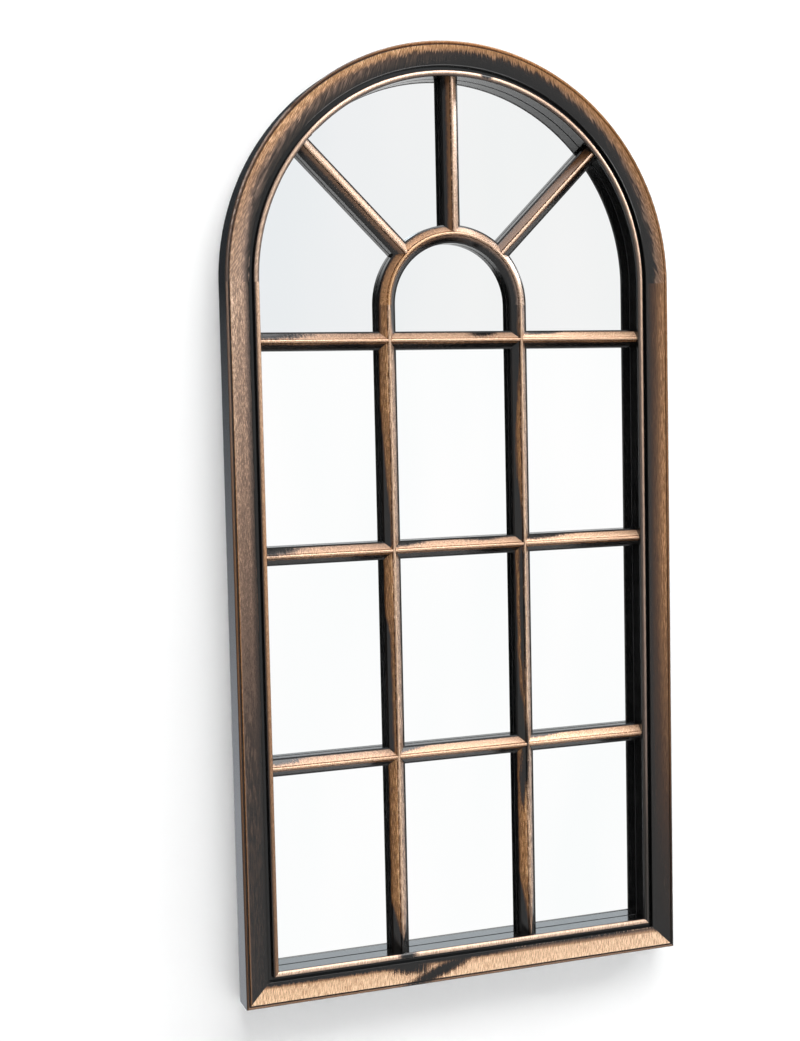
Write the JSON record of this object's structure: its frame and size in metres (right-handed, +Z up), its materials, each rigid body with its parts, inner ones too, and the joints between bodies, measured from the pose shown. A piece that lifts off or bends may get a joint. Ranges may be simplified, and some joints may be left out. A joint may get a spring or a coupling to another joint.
{
  "type": "arched window mirror",
  "caption": "Arched garden wall mirror shaped like a window, with a moulded frame, glazing bars and a fan of spokes over a small arch.",
  "frame": {"origin": "middle of the frame's bottom edge, on the plane of the frame's back", "axes": "+X to the right seen from the front, +Y into the wall, +Z up"},
  "size_m": [0.5, 0.0353, 1],
  "materials": {
    "frame_moulding": "moulded black-brown polymer, dry-brushed with copper paint on its raised faces, satin gloss",
    "glazing_bars": "moulded black-brown polymer with copper paint on crests and upper slopes, satin gloss",
    "mirror_glass": "silvered flat glass",
    "bedding_tape": "black foam tape",
    "back_board": "black hard board with a fine grain",
    "joining_keys": "dark grey moulded polymer",
    "plated_sheet": "zinc-plated sheet steel",
    "ring_wire": "nickel-plated steel wire",
    "screws": "zinc-plated steel",
    "buffer_rubber": "black rubber"
  },
  "bodies": {
    "mirror": {"arch_head": "frame_moulding", "stile_left": "frame_moulding", "stile_right": "frame_moulding", "bottom_rail": "frame_moulding", "corner_key_left": "joining_keys", "corner_key_right": "joining_keys", "joint_key_left": "joining_keys", "joint_key_right": "joining_keys", "key_screws": "screws", "mullion_left": "glazing_bars", "mullion_right": "glazing_bars", "transom_top_left": "glazing_bars", "transom_top_centre": "glazing_bars", "transom_top_right": "glazing_bars", "transom_middle_left": "glazing_bars", "transom_middle_centre": "glazing_bars", "transom_middle_right": "glazing_bars", "transom_low_left": "glazing_bars", "transom_low_centre": "glazing_bars", "transom_low_right": "glazing_bars", "inner_arch_bar": "glazing_bars", "spoke_left": "glazing_bars", "spoke_centre": "glazing_bars", "spoke_right": "glazing_bars", "mirror_glass": "mirror_glass", "rim_tape": "bedding_tape", "bar_tape": "bedding_tape", "back_board": "back_board", "board_clips": "plated_sheet", "clip_screws": "screws", "hanger_strap_left": "plated_sheet", "hanger_strap_right": "plated_sheet", "hanger_screws": "screws", "wall_buffers": "buffer_rubber"},
    "ring_left": {"hanger_ring_left": "ring_wire"},
    "ring_right": {"hanger_ring_right": "ring_wire"}
  },
  "joints": [
    {"name": "ring_left_swing", "type": "hinge", "parent": "mirror", "child": "ring_left", "pos_m": [-0.236, 0.00248, 0.67], "axis": [-1, 0, 0], "range_deg": [0, 165]},
    {"name": "ring_right_swing", "type": "hinge", "parent": "mirror", "child": "ring_right", "pos_m": [0.236, 0.00248, 0.67], "axis": [-1, 0, 0], "range_deg": [0, 165]}
  ]
}
